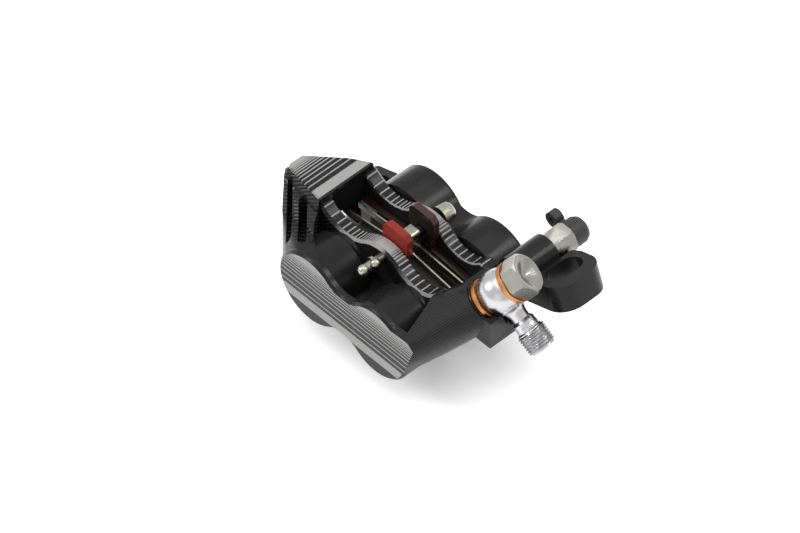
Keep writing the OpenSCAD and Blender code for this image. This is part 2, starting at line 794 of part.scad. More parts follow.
// Hollow banjo bolt with a hexagon head and a turned hollow in its end
module banjo_bolt() {
    shank_low = -seat_drop - bolt_grip;
    head_low = seat_drop;
    hollow = 2;
    corner_r = bolt_af / 2 / cos(30);
    color([0.63, 0.62, 0.58]) on_port() difference() {
        union() {
            translate([0, 0, shank_low]) cylinder(h = head_low - shank_low + 1, r = bolt_d / 2);
            translate([0, 0, head_low]) intersection() {
                rotate([0, 0, hex_turn]) cylinder(h = bolt_head, r = corner_r, $fn = 6);
                cylinder(h = bolt_head, r1 = corner_r + 3.6, r2 = bolt_af / 2 + 0.1);
                cylinder(h = bolt_head, r1 = bolt_af / 2 + 0.1, r2 = corner_r + 6);
            }
        }
        translate([0, 0, head_low + bolt_head - hollow])
            cylinder(h = hollow + eps, r1 = 0.4, r2 = bolt_af / 2 - 0.9);
        translate([0, 0, shank_low - 1]) cylinder(h = bolt_grip + seat_drop + 2, r = bolt_d / 4);
        rotate([90, 0, 0]) cylinder(h = bolt_d + 2, r = bolt_d / 5, center = true);
    }
}

// Copper washer with its lower face at a height on the banjo axis
module washer(low) {
    color([0.78, 0.48, 0.24]) on_port() translate([0, 0, low]) difference() {
        cylinder(h = washer_t, r = washer_d / 2);
        translate([0, 0, -1]) cylinder(h = washer_t + 2, r = bolt_d / 2 + fixed_clear);
    }
}

// Bleed nipple

module bleed_nipple() {
    hex_y = bleed_face + hex_gap;
    barb = 2.4;
    barb_r = nipple_barrel_r + 0.4;
    barrel_end = hex_y + bleed_hex + nipple_tip;
    hex_end = hex_y + bleed_hex;
    corner_r = nipple_af / 2 / cos(30);
    inner_r = nipple_af / 2 - 0.5;
    inner_slope = 0.5;
    color([0.68, 0.67, 0.64]) difference() {
        union() {
            y_bar(bleed_x, bleed_z, bleed_face - bleed_depth + 1, hex_y, nipple_d / 2, nipple_d / 2);
            intersection() {
                y_bar(bleed_x, bleed_z, hex_y, hex_end, corner_r, corner_r, $fn = 6);
                y_bar(bleed_x, bleed_z, hex_y, hex_end, corner_r + 2.5, nipple_af / 2 + 0.2);
                y_bar(bleed_x, bleed_z, hex_y, hex_end, inner_r, inner_r + inner_slope * bleed_hex);
            }
            y_bar(bleed_x, bleed_z, hex_y, barrel_end - barb, nipple_barrel_r, nipple_barrel_r);
            y_bar(bleed_x, bleed_z, barrel_end - barb, barrel_end, barb_r, barb_r - 0.9);
        }
        y_bar(bleed_x, bleed_z, bleed_face - 5, far_out, nipple_barrel_r / 2, nipple_barrel_r / 2);
    }
}

// Rubber cap over the nipple, with its strap and ring
module bleed_cap() {
    low_y = bleed_face + hex_gap + bleed_hex + 0.2;
    cap_end = low_y + nipple_tip + 2;
    cap_r = dust_d / 2;
    dome_start = cap_end - 1.9;
    dome_mid = cap_end - 0.7;
    dome_mid_r = cap_r - 0.6;
    dome_top_r = cap_r - 1.8;
    bore_r_cap = nipple_barrel_r + 0.5;
    ring_x = bleed_x - 6.2;
    ring_z = bleed_z + 0.75;
    ring_out = 2.2;
    ring_in = 0.9;
    strap_t = 1.9;
    strap_y = low_y + 0.4;
    strap_w = 2.6;
    strap_turn = atan2(ring_z - bleed_z, ring_x - bleed_x);
    strap_reach = norm([ring_z - bleed_z, ring_x - bleed_x]);
    color([0.07, 0.07, 0.07]) difference() {
        union() {
            y_bar(bleed_x, bleed_z, low_y, dome_start, cap_r, cap_r);
            y_bar(bleed_x, bleed_z, dome_start, dome_mid, cap_r, dome_mid_r);
            y_bar(bleed_x, bleed_z, dome_mid, cap_end, dome_mid_r, dome_top_r);
            y_bar(ring_x, ring_z, strap_y, strap_y + strap_w, ring_out, ring_out);
            translate([bleed_x, 0, bleed_z]) rotate([0, -strap_turn, 0])
                block([0, strap_y + 0.2, -strap_t / 2],
                    [strap_reach, strap_y + strap_w - 0.2, strap_t / 2]);
        }
        y_bar(bleed_x, bleed_z, low_y - 1, low_y + nipple_tip + 0.3, bore_r_cap, bore_r_cap);
        y_bar(ring_x, ring_z, low_y - 1, low_y + 4, ring_in, ring_in);
    }
}

caliper_body();
mirror([0, 1, 0]) piston(-half_pitch);  // near_left_piston
mirror([0, 1, 0]) piston(half_pitch);  // near_right_piston
piston(-half_pitch);  // far_left_piston
piston(half_pitch);  // far_right_piston
mirror([0, 1, 0]) piston_seal(-half_pitch);  // near_left_seal
mirror([0, 1, 0]) piston_seal(half_pitch);  // near_right_seal
piston_seal(-half_pitch);  // far_left_seal
piston_seal(half_pitch);  // far_right_seal
bore_cap(-half_pitch);  // left_bore_cap
bore_cap(half_pitch);  // right_bore_cap
cap_oring(-half_pitch);  // left_cap_oring
cap_oring(half_pitch);  // right_cap_oring
mirror([0, 1, 0]) pad_backing();  // near_pad_backing
mirror([0, 1, 0]) pad_lining();  // near_pad_lining
pad_backing();  // far_pad_backing
pad_lining();  // far_pad_lining
pad_spring();
pad_pin();
pin_clip();
hose_banjo();
banjo_bolt();
washer(-seat_drop);  // inner_washer
washer(eye_w / 2 + face_clear);  // outer_washer
bleed_nipple();
bleed_cap();
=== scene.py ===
"""Looks of a four-piston bicycle disc brake caliper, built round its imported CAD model."""

import json
import math

import bmesh
import bpy
import numpy as np
from mathutils import Matrix, Vector


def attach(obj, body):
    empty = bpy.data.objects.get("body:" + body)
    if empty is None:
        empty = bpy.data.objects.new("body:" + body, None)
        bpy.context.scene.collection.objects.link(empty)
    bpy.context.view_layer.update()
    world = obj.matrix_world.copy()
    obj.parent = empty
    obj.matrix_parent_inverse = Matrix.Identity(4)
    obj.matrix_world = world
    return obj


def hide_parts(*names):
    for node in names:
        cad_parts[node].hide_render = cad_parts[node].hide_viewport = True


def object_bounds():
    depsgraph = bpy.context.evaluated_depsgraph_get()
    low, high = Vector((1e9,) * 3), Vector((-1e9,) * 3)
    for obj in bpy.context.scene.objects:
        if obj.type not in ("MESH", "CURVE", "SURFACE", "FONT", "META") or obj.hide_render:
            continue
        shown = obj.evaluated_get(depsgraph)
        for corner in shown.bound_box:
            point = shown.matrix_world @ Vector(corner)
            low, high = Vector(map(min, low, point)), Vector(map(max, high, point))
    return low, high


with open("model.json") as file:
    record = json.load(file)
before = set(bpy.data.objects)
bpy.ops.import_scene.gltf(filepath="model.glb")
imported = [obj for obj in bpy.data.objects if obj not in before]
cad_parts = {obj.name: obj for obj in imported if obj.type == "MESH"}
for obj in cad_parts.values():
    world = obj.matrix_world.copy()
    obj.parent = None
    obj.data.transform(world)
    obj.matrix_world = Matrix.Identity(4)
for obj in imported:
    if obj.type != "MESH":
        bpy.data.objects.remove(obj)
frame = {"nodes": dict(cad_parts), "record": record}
cad_low, cad_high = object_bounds()

# Metres in a millimetre
MM = 0.001

# Sizes of the body's solid, in millimetres, as the part's source has them
NEAR_DEPTH = 23.7
HALF_PITCH = 12.0
LOBE_R = 11.2
WIN_HALF = 5.65
RAIL_OUT = 9.7
RAIL_CHAMFER = 0.7
WINDOW_LEFT = 22.6
WINDOW_RIGHT = 20.3
HUMP_X = -0.5
BRIDGE_Z = 14.4

# Places where a finish changes, in millimetres: the foot of the pads' tabs, the start of the painted shade on
# the pin, and just before the near side of the banjo lug
TAB_FOOT = 8.0
PIN_RIM = 12.0
LUG_NEAR = -7.05

# Sizes of the banjo's solid, in millimetres and degrees, as the part's source has them
BALL_AT = (31.27, 0.74, 16.05)
PORT_TURN = 47.0
PORT_RISE = 45.0
ARM_TURN = -31.0
BALL_R = 6.0
EYE_HALF = 3.7
EYE_BORE = 3.05
ARM_R = 2.3
COLLAR_R = 3.0
THREAD_R = 4.0
THREAD_LEN = 6.2
HOSE_BORE_R = 1.4

# The turned arm ends 0.01 mm before its solid, and so stays inside the solid's box
ARM_LEN = 17.79

# The hose thread, which the solid leaves plain, in millimetres
THREAD_PITCH = 0.75
THREAD_DEPTH = 0.42

# Points round each turned surface
POINTS_ROUND = 128

# Width of the broken edges of each dressed piece, in millimetres
EDGE_BREAKS = {
    "caliper_body": 0.16,
    "near_pad_backing": 0.15,
    "far_pad_backing": 0.15,
    "near_pad_lining": 0.2,
    "far_pad_lining": 0.2,
    "pad_spring": 0.1,
    "pad_pin": 0.1,
    "pin_clip": 0.2,
    "banjo_bolt": 0.12,
    "inner_washer": 0.12,
    "outer_washer": 0.12,
    "bleed_nipple": 0.1,
    "bleed_cap": 0.5,
}


class Finish:
    """One procedural material: a Principled shader and the nodes that feed it."""

    def __init__(self, name, colour, roughness, metallic=0.0):
        self.material = bpy.data.materials.new(name)
        self.material.use_nodes = True
        self.tree = self.material.node_tree
        self.shader = self.tree.nodes["Principled BSDF"]
        self.shader.inputs["Base Color"].default_value = (*colour, 1.0)
        self.shader.inputs["Roughness"].default_value = roughness
        self.shader.inputs["Metallic"].default_value = metallic
        coords = self.add("ShaderNodeTexCoord")
        in_mm = self.add("ShaderNodeVectorMath", operation="SCALE")
        in_mm.inputs["Scale"].default_value = 1.0 / MM
        self.feed(in_mm.inputs[0], coords.outputs["Object"])
        self.place = in_mm.outputs["Vector"]
        self.facing = coords.outputs["Normal"]

    def add(self, kind, **settings):
        """A new node with its settings."""
        node = self.tree.nodes.new(kind)
        for name, value in settings.items():
            setattr(node, name, value)
        return node

    def feed(self, socket, value):
        """Links a socket to another one, or gives it a constant."""
        if isinstance(value, bpy.types.NodeSocket):
            self.tree.links.new(value, socket)
        else:
            socket.default_value = value

    def calc(self, operation, *values):
        """The result of one Math node."""
        node = self.add("ShaderNodeMath", operation=operation)
        for socket, value in zip(node.inputs, values):
            self.feed(socket, value)
        return node.outputs[0]

    def split(self, vector):
        """The X, Y and Z of a vector."""
        node = self.add("ShaderNodeSeparateXYZ")
        self.feed(node.inputs[0], vector)
        return node.outputs[0], node.outputs[1], node.outputs[2]

    def stretch(self, x, y, z):
        """The place in millimetres, stretched along each axis."""
        node = self.add("ShaderNodeVectorMath", operation="MULTIPLY")
        self.feed(node.inputs[0], self.place)
        node.inputs[1].default_value = (x, y, z)
        return node.outputs["Vector"]

    def along(self, x, y, z):
        """The place in millimetres along one direction."""
        node = self.add("ShaderNodeVectorMath", operation="DOT_PRODUCT")
        self.feed(node.inputs[0], self.place)
        node.inputs[1].default_value = (x, y, z)
        return node.outputs["Value"]

    def noise(self, scale, detail=3.0, place=None):
        """Soft noise with that many waves to the millimetre, about 0.5 in the middle."""
        node = self.add("ShaderNodeTexNoise")
        self.feed(node.inputs["Vector"], place or self.place)
        node.inputs["Scale"].default_value = scale
        node.inputs["Detail"].default_value = detail
        return node.outputs["Fac"]

    def between(self, value, low, high):
        """1 where low < value < high, and 0 elsewhere."""
        above = self.calc("GREATER_THAN", value, low)
        below = self.calc("LESS_THAN", value, high)
        return self.calc("MULTIPLY", above, below)

    def remap(self, value, low, high, start=0.0, end=1.0):
        """Low at the start of a range, high at its end, even between them and level outside."""
        node = self.add("ShaderNodeMapRange", clamp=True)
        self.feed(node.inputs["Value"], value)
        for name, number in zip(("From Min", "From Max", "To Min", "To Max"), (start, end, low, high)):
            node.inputs[name].default_value = number
        return node.outputs["Result"]

    def mix(self, share, first, second):
        """Two colours mixed by a share that varies over the surface."""
        node = self.add("ShaderNodeMix", data_type="RGBA")
        self.feed(node.inputs[0], share)
        for socket, colour in ((node.inputs[6], first), (node.inputs[7], second)):
            self.feed(socket, colour if isinstance(colour, bpy.types.NodeSocket) else (*colour, 1.0))
        return node.outputs[2]

    def colour(self, socket):
        """Feeds the shader's colour."""
        self.feed(self.shader.inputs["Base Color"], socket)

    def rough(self, socket):
        """Feeds the shader's roughness."""
        self.feed(self.shader.inputs["Roughness"], socket)

    def bump(self, height, depth_mm):
        """Adds a small relief of that depth on top of any relief before it."""
        node = self.add("ShaderNodeBump")
        node.inputs["Distance"].default_value = depth_mm * MM
        node.inputs["Strength"].default_value = 1.0
        self.feed(node.inputs["Height"], height)
        earlier = self.shader.inputs["Normal"].links
        if earlier:
            self.feed(node.inputs["Normal"], earlier[0].from_socket)
        self.feed(self.shader.inputs["Normal"], node.outputs["Normal"])

    def growing_lines(self, distance, first_gap, growth, width):
        """Lines across a distance: their spacing is first_gap + growth * distance, so the count of lines is
        a logarithm of it, and a line shows where the nearest half count is less than half a width away."""
        spread = self.calc("MULTIPLY_ADD", distance, growth / first_gap, 1.0)
        count = self.calc("DIVIDE", self.calc("LOGARITHM", spread, math.e), growth)
        aside = self.calc("ABSOLUTE", self.calc("SUBTRACT", self.calc("FRACT", count), 0.5))
        spacing = self.calc("MULTIPLY_ADD", distance, growth, first_gap)
        off_line = self.calc("MULTIPLY", aside, spacing)
        return self.calc("LESS_THAN", off_line, width / 2)


def all_of(finish, *shares):
    """The product of several masks."""
    product = shares[0]
    for share in shares[1:]:
        product = finish.calc("MULTIPLY", product, share)
    return product


def any_of(finish, *shares):
    """The largest of several masks."""
    largest = shares[0]
    for share in shares[1:]:
        largest = finish.calc("MAXIMUM", largest, share)
    return largest


def faded_stretch(finish, place, rise, fall, level):
    """A share that grows to a level over the first range of a place, and falls to 0 over the second."""
    return all_of(finish, finish.remap(place, 0.0, level, *rise), finish.remap(place, 1.0, 0.0, *fall))


# Finishes of the body


def etched_face(finish, y, z, facing_y):
    """Stripes along X on the near face: solid at the lobe tops, wider apart lower down, then a broad band."""
    stripes_top = LOBE_R - 0.2
    band_top = -3.7
    band_foot = -6.8
    first_gap = 0.0616
    gap_growth = 0.158
    line_width = 0.40
    skin = 0.4
    turned_near = finish.calc("LESS_THAN", facing_y, -0.9)
    on_face = all_of(finish, turned_near, finish.calc("LESS_THAN", y, skin - NEAR_DEPTH))
    depth = finish.calc("SUBTRACT", stripes_top, z)
    above_band = finish.calc("GREATER_THAN", z, band_top)
    lines = all_of(finish, finish.growing_lines(depth, first_gap, gap_growth, line_width), above_band)
    band = finish.between(z, band_foot, band_top)
    return all_of(finish, on_face, any_of(finish, lines, band))


def etched_bridge(finish, x, z, facing_z):
    """Stripes along Y on the plain bridge: solid at its outer end, wider apart towards the window, with one
    plain broad band beside the window."""
    outer_end = -35.4
    band_start = 0.6
    band_end = 3.0
    first_gap = 0.0376
    gap_growth = 0.161
    line_width = 0.30
    skin = 0.3
    from_window = finish.calc("SUBTRACT", -WINDOW_LEFT, x)
    from_end = finish.calc("MAXIMUM", finish.calc("SUBTRACT", x, outer_end), 0.0)
    turned_up = finish.calc("GREATER_THAN", facing_z, 0.85)
    on_top = all_of(finish, turned_up, finish.calc("GREATER_THAN", z, BRIDGE_Z - skin))
    lines = finish.growing_lines(from_end, first_gap, gap_growth, line_width)
    striped = all_of(finish, finish.calc("GREATER_THAN", from_window, band_end), lines)
    band = finish.between(from_window, band_start, band_end)
    return all_of(finish, on_top, any_of(finish, striped, band))


def etched_rails(finish, x, y, facing_z):
    """Stripes across both rails: solid on the hump, then ever wider apart towards the window ends."""
    first_gap = 0.0318
    left_growth = 0.121
    right_growth = 0.178
    line_width = 0.34
    solid_half = 2.2
    skin = 0.05
    from_hump = finish.calc("ABSOLUTE", finish.calc("SUBTRACT", x, HUMP_X))
    on_top = all_of(
        finish,
        finish.calc("GREATER_THAN", facing_z, 0.4),
        finish.between(finish.calc("ABSOLUTE", y), WIN_HALF - skin, RAIL_OUT - RAIL_CHAMFER - skin),
        finish.between(x, -WINDOW_LEFT - 0.2, WINDOW_RIGHT + 0.6),
    )
    right_side = finish.calc("GREATER_THAN", x, HUMP_X)
    left_side = finish.calc("SUBTRACT", 1.0, right_side)
    right_lines = finish.growing_lines(from_hump, first_gap, right_growth, line_width)
    left_lines = finish.growing_lines(from_hump, first_gap, left_growth, line_width)
    solid = finish.calc("LESS_THAN", from_hump, solid_half)
    right = all_of(finish, right_side, right_lines)
    left = all_of(finish, left_side, left_lines)
    return all_of(finish, on_top, any_of(finish, left, right, solid))


def chamfer_highlights(finish, x, y, facing_y, facing_z):
    """Painted highlights on the chamfers along the valleys of the rails, on the near rail's outer and the far
    rail's inner edge.
    They fade in towards the bottom of each valley and end at the hump and at the window's end."""
    skin = 0.1
    inner_width = 0.45
    near_edge = finish.between(y, -RAIL_OUT - skin, skin / 2 - RAIL_OUT + RAIL_CHAMFER)
    far_edge = finish.between(y, WIN_HALF - skin, WIN_HALF + inner_width)
    edges = any_of(finish, near_edge, far_edge)
    slanted = all_of(finish, finish.between(facing_z, 0.25, 0.95), finish.calc("LESS_THAN", facing_y, -0.2))
    left_valley = faded_stretch(finish, x, (-18.0, -13.0), (-1.0, 1.0), 0.9)
    right_valley = faded_stretch(finish, x, (5.0, 10.0), (18.5, 20.0), 0.75)
    return all_of(finish, edges, slanted, any_of(finish, left_valley, right_valley))


def on_pillar(finish, x, y, z):
    """1 on the pillar between the near left lobe and the plain bridge."""
    behind_face = 0.5 - NEAR_DEPTH
    rail_side = 0.4 - RAIL_OUT
    lobe_side = -HALF_PITCH - 6.5
    return all_of(
        finish,
        finish.between(y, behind_face, rail_side),
        finish.calc("LESS_THAN", x, lobe_side),
        finish.calc("GREATER_THAN", z, 0.0),
    )


def on_end_wall(finish, x, y, z):
    """A share on the hose side end wall: full at its top, and fading out down to its foot."""
    full = 0.75
    foot = 3.0
    top = 10.0
    behind_face = 0.5 - NEAR_DEPTH
    window_side = WINDOW_RIGHT - 1.0
    return all_of(
        finish,
        finish.between(y, behind_face, LUG_NEAR),
        finish.calc("GREATER_THAN", x, window_side),
        finish.remap(z, 0.0, full, foot, top),
    )


def in_rotor_slot(finish, x, y, z):
    """1 in the rotor slot under the plain bridge, where no gloss is seen."""
    window_side = 0.1 - WINDOW_LEFT
    under_top = BRIDGE_Z - 1.0
    return all_of(
        finish,
        finish.between(y, -WIN_HALF, WIN_HALF),
        finish.calc("LESS_THAN", x, window_side),
        finish.calc("LESS_THAN", z, under_top),
    )


def cutter_passes(finish, direction, drift, pitch, wander):
    """Relief of a cutter's passes, from -1 to 1: a sine along a direction, one wave to a pitch, shifted by
    a drift times the wander."""
    along = finish.calc("MULTIPLY_ADD", drift, wander, finish.along(*direction))
    return finish.calc("SINE", finish.calc("MULTIPLY", along, 2.0 * math.pi / pitch))


def black_anodised():
    """Black anodised aluminium with pale stripes of etching and painted highlights on the rail chamfers, and
    cutter marks on the pillar and end wall whose ridges carry a painted highlight.
    """
    pillar_slope = (0.54, -0.51, -0.667)
    wall_slope = (-0.80, 0.0, 0.59)
    stripe_and_highlight_grey = (0.37, 0.37, 0.365)
    stripe_and_highlight_roughness = 0.5
    highlight_share = 0.6
    finish = Finish("black_anodised", (0.012, 0.012, 0.013), 0.28)
    x, y, z = finish.split(finish.place)
    _, facing_y, facing_z = finish.split(finish.facing)
    # pale grey for the stripes of etching and for the painted highlights on the rail chamfers
    etched_and_highlit = any_of(
        finish,
        etched_face(finish, y, z, facing_y),
        etched_bridge(finish, x, z, facing_z),
        etched_rails(finish, x, y, facing_z),
        chamfer_highlights(finish, x, y, facing_y, facing_z),
    )
    sheen = finish.remap(finish.noise(1.4), 0.22, 0.32)
    finish.rough(finish.calc("MAXIMUM", sheen, finish.calc("MULTIPLY", etched_and_highlit, stripe_and_highlight_roughness)))
    gloss = finish.remap(in_rotor_slot(finish, x, y, z), 0.18, 0.0)
    finish.feed(finish.shader.inputs["Specular IOR Level"], gloss)
    drift = finish.noise(0.25, 1.0)
    pillar = on_pillar(finish, x, y, z)
    wall = on_end_wall(finish, x, y, z)
    pillar_marks = all_of(finish, pillar, cutter_passes(finish, pillar_slope, drift, pitch=0.9, wander=0.9))
    wall_marks = all_of(finish, wall, cutter_passes(finish, wall_slope, drift, pitch=0.6, wander=0.5))
    marks = finish.calc("ADD", pillar_marks, wall_marks)
    # painted highlight: the ridges of the cutter marks are coloured lighter, brightest towards the pillar's
    # foot
    highlit_crests = finish.calc("MULTIPLY", finish.calc("MAXIMUM", marks, 0.0), highlight_share)
    pillar_foot_highlight = all_of(finish, pillar, finish.remap(z, 1.0, 0.0, 3.0, 9.0))
    crest_highlight_grey = finish.mix(pillar_foot_highlight, (0.042, 0.042, 0.044), (0.12, 0.12, 0.12))
    dark = finish.mix(finish.noise(0.35), (0.009, 0.009, 0.010), (0.015, 0.015, 0.016))
    finish.colour(finish.mix(etched_and_highlit, finish.mix(highlit_crests, dark, crest_highlight_grey), stripe_and_highlight_grey))
    finish.bump(marks, 0.035)
    finish.bump(finish.noise(9.0, 2.0), 0.004)
    return finish.material


def plain_black():
    """Black anodised aluminium without stripes, for the bore caps, with a fine grain."""
    finish = Finish("plain_black", (0.012, 0.012, 0.013), 0.34)
    finish.shader.inputs["Specular IOR Level"].default_value = 0.25
    finish.colour(finish.mix(finish.noise(0.6), (0.010, 0.010, 0.011), (0.022, 0.022, 0.023)))
    finish.rough(finish.remap(finish.noise(2.0), 0.28, 0.42))
    finish.bump(finish.noise(9.0, 2.0), 0.01)
    return finish.material


# Finishes of the other pieces


def bare_metal(name, dark, light, roughness, grain=(1.0, 1.0, 1.0), shaded=None):
    """Bare or plated metal: two close colours and two close gloss levels, over a faint grain. Where a shaded
    colour is given, faces turned away from the sky and the near side take it as a painted shade."""
    grain_depth = 0.001
    finish = Finish(name, light, roughness, 1.0)
    metal = finish.mix(finish.noise(0.5), dark, light)
    # painted shade: faces turned away from the lamps above and in front take the darker shaded colour
    if shaded:
        _, facing_y, facing_z = finish.split(finish.facing)
        skyward = finish.calc("MULTIPLY_ADD", facing_y, -0.5, finish.calc("MULTIPLY", facing_z, 0.85))
        metal = finish.mix(finish.remap(skyward, 1.0, 0.0, -0.1, 0.7), metal, shaded)
    finish.colour(metal)
    grained = finish.noise(0.9, 2.0, finish.stretch(*grain))
    finish.rough(finish.remap(grained, roughness - 0.04, roughness + 0.06))
    finish.bump(grained, grain_depth)
    return finish.material


def pin_steel():
    """Plated steel at both ends of the pad pin, and a painted shade, dark, where it runs through the rails
    and pads.
    """
    fade = 0.6
    finish = Finish("pin_steel", (0.36, 0.35, 0.30), 0.28, 1.0)
    _, y, _ = finish.split(finish.place)
    plated = finish.mix(finish.noise(0.5), (0.30, 0.29, 0.24), (0.40, 0.39, 0.33))
    # painted shade on the stretch of the pin between the rails and pads
    painted_shade = finish.mix(finish.noise(1.2), (0.050, 0.047, 0.038), (0.090, 0.085, 0.070))
    past_rim = finish.remap(y, 0.0, 1.0, -PIN_RIM - fade, -PIN_RIM + fade)
    inside = finish.calc("MULTIPLY", past_rim, finish.calc("LESS_THAN", y, RAIL_OUT))
    finish.colour(finish.mix(inside, plated, painted_shade))
    finish.rough(finish.remap(finish.noise(0.9), 0.24, 0.34))
    finish.bump(finish.noise(0.9, 2.0), 0.001)
    return finish.material


def moulded_rubber(name, roughness):
    """Black rubber with a faint bloom and a fine moulded grain."""
    finish = Finish(name, (0.012, 0.012, 0.012), roughness)
    finish.colour(finish.mix(finish.noise(0.5), (0.008, 0.008, 0.008), (0.020, 0.020, 0.019)))
    finish.rough(finish.remap(finish.noise(1.5), roughness - 0.08, roughness + 0.12))
    finish.bump(finish.noise(7.0, 2.0), 0.02)
    return finish.material


def red_backing():
    """Red paint on a backing plate, with bare steel towards the rotor. The paint takes its lit colour on the
    outside of a plate and all round the near tab, and a painted shade, dim and dark, on the other edges, less
    dark on the tabs."""
    finish = Finish("red_backing", (0.26, 0.02, 0.014), 0.38)
    finish.shader.inputs["Specular IOR Level"].default_value = 0.25
    _, y, z = finish.split(finish.place)
    _, facing_y, _ = finish.split(finish.facing)
    outward = finish.calc("MULTIPLY", facing_y, finish.calc("SIGN", y))
    bare = finish.remap(outward, 0.0, 1.0, -0.4, -0.9)
    on_tab = finish.calc("GREATER_THAN", z, TAB_FOOT)
    near_tab = all_of(finish, finish.calc("LESS_THAN", y, 0.0), on_tab)
    # share of the paint shown in its lit colour; the rest of the paint takes a painted shade
    outside = any_of(finish, finish.remap(outward, 0.0, 1.0, 0.2, 0.8), near_tab)
    lit_paint = finish.mix(finish.noise(0.8), (0.22, 0.016, 0.010), (0.31, 0.026, 0.018))
    # painted shade on the edges turned away from the lamps, less dark on the tabs
    shaded_paint = finish.mix(on_tab, (0.020, 0.007, 0.007), (0.055, 0.022, 0.020))
    paint = finish.mix(outside, shaded_paint, lit_paint)
    steel = finish.mix(finish.noise(0.5), (0.024, 0.021, 0.014), (0.050, 0.044, 0.031))
    finish.colour(finish.mix(bare, paint, steel))
    finish.feed(finish.shader.inputs["Metallic"], finish.calc("MULTIPLY", bare, 0.7))
    finish.rough(finish.remap(finish.noise(1.8), 0.30, 0.46))
    finish.bump(finish.noise(6.0, 2.0), 0.012)
    return finish.material


def friction_lining():
    """Sintered lining: dark grains with coppery flecks."""
    finish = Finish("friction_lining", (0.05, 0.042, 0.036), 0.75)
    flecks = finish.calc("GREATER_THAN", finish.noise(3.2, 2.0), 0.62)
    grains = finish.mix(finish.noise(1.6, 5.0), (0.010, 0.009, 0.007), (0.030, 0.027, 0.020))
    finish.colour(finish.mix(flecks, grains, (0.060, 0.042, 0.028)))
    finish.rough(finish.remap(finish.noise(2.6), 0.6, 0.9))
    finish.bump(finish.noise(3.2, 4.0), 0.08)
    return finish.material


def make_finishes():
    """Every finish, under the name of the node or of the record's slot that it belongs to."""
    rings_round_y = (0.3, 3.0, 0.3)
    lines_along_x = (0.3, 4.0, 4.0)
    return {
        "black_anodised": black_anodised(),
        "plain_black": plain_black(),
        "piston_metal": bare_metal(
            "piston_metal", (0.045, 0.045, 0.046), (0.075, 0.075, 0.075), 0.42, grain=rings_round_y),
        "seal_rubber": moulded_rubber("seal_rubber", 0.5),
        "red_backing": red_backing(),
        "friction_lining": friction_lining(),
        "spring_steel": bare_metal(
            "spring_steel", (0.24, 0.23, 0.18), (0.34, 0.33, 0.27), 0.26, grain=lines_along_x),
        "pad_pin": pin_steel(),
        "nickel_plate": bare_metal(
            "nickel_plate", (0.28, 0.27, 0.23), (0.38, 0.37, 0.32), 0.24, shaded=(0.10, 0.10, 0.09)),
        "polished_silver": bare_metal(
            "polished_silver", (0.43, 0.43, 0.44), (0.50, 0.50, 0.51), 0.26, shaded=(0.35, 0.35, 0.36)),
        "bolt_metal": bare_metal(
            "bolt_metal", (0.30, 0.30, 0.26), (0.40, 0.40, 0.36), 0.26, shaded=(0.11, 0.11, 0.095)),
        "copper": bare_metal("copper", (0.37, 0.15, 0.048), (0.52, 0.235, 0.087), 0.30),
        "cap_rubber": moulded_rubber("cap_rubber", 0.55),
    }


# Pieces


def add_piece(name, mesh, material, body):
    """Puts a finished mesh into the scene on the CAD body that it moves with."""
    mesh.materials.clear()
    mesh.materials.append(material)
    piece = bpy.data.objects.new(name, mesh)
    bpy.context.scene.collection.objects.link(piece)
    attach(piece, body)
    return piece


def soften_edges(piece, width_mm):
    """Breaks the sharp edges of a piece with a small round."""
    sharpest_kept = 38.0
    bevel = piece.modifiers.new("edge_break", "BEVEL")
    bevel.width = width_mm * MM
    bevel.segments = 2
    bevel.limit_method = "ANGLE"
    bevel.angle_limit = math.radians(sharpest_kept)
    bevel.use_clamp_overlap = True
    bevel.harden_normals = False


def smooth_copy(node, body, material, edge_mm):
    """A merged copy of a CAD node whose round faces are shaded smooth and whose edges are broken."""
    merge_reach = 1e-6
    flat_within = 0.5
    smooth_within = 28.0
    mesh = frame["nodes"][node].data.copy()
    work = bmesh.new()
    work.from_mesh(mesh)
    bmesh.ops.remove_doubles(work, verts=work.verts, dist=merge_reach)
    bmesh.ops.dissolve_limit(work, angle_limit=math.radians(flat_within), verts=work.verts, edges=work.edges)
    work.to_mesh(mesh)
    work.free()
    mesh.shade_smooth()
    mesh.set_sharp_from_angle(angle=math.radians(smooth_within))
    piece = add_piece(node + "_dressed", mesh, material, body)
    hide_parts(node)
    soften_edges(piece, edge_mm)


def grid_faces(rows, columns):
    """Quads of a grid of points whose last column joins its first."""
    row = np.arange(rows - 1)[:, None]
    column = np.arange(columns)[None, :]
    after = (column + 1) % columns
    quads = np.stack([row * columns + column, row * columns + after,
                      (row + 1) * columns + after, (row + 1) * columns + column], axis=-1)
    return quads.reshape(-1, 4)


def turned_shell(along, radius, axes, centre):
    """Points of a turned surface: each row goes once round the axis, at that place along it and with that
    radius, which may vary round the row as a thread does. axes are two directions across and one along."""
    angle = np.linspace(0.0, 2.0 * np.pi, radius.shape[1], endpoint=False)
    across_a, across_b, axis = axes
    ring = np.cos(angle)[:, None] * across_a + np.sin(angle)[:, None] * across_b
    points = along[:, None, None] * axis + radius[:, :, None] * ring[None]
    return points.reshape(-1, 3) + centre, grid_faces(len(along), radius.shape[1])


def resample(corners, step):
    """A polyline of (radius, along) pairs with points about a step apart, its corners kept."""
    corners = np.asarray(corners, float)
    pieces = []
    for start, end in zip(corners[:-1], corners[1:]):
        count = max(1, int(np.ceil(np.linalg.norm(end - start) / step)))
        pieces.append(start + (end - start) * (np.arange(count) / count)[:, None])
    return np.vstack([*pieces, corners[-1:]])


def turn(degrees, axis):
    """A turn about one axis."""
    return Matrix.Rotation(math.radians(degrees), 3, axis)


def port_axes():
    """Directions across and along the banjo bolt, and across and along the banjo arm."""
    bolt = turn(PORT_TURN, "Z") @ turn(90 - PORT_RISE, "Y")
    arm = bolt @ turn(ARM_TURN, "Z") @ turn(90, "Y")
    return np.array(bolt, float).T, np.array(arm, float).T


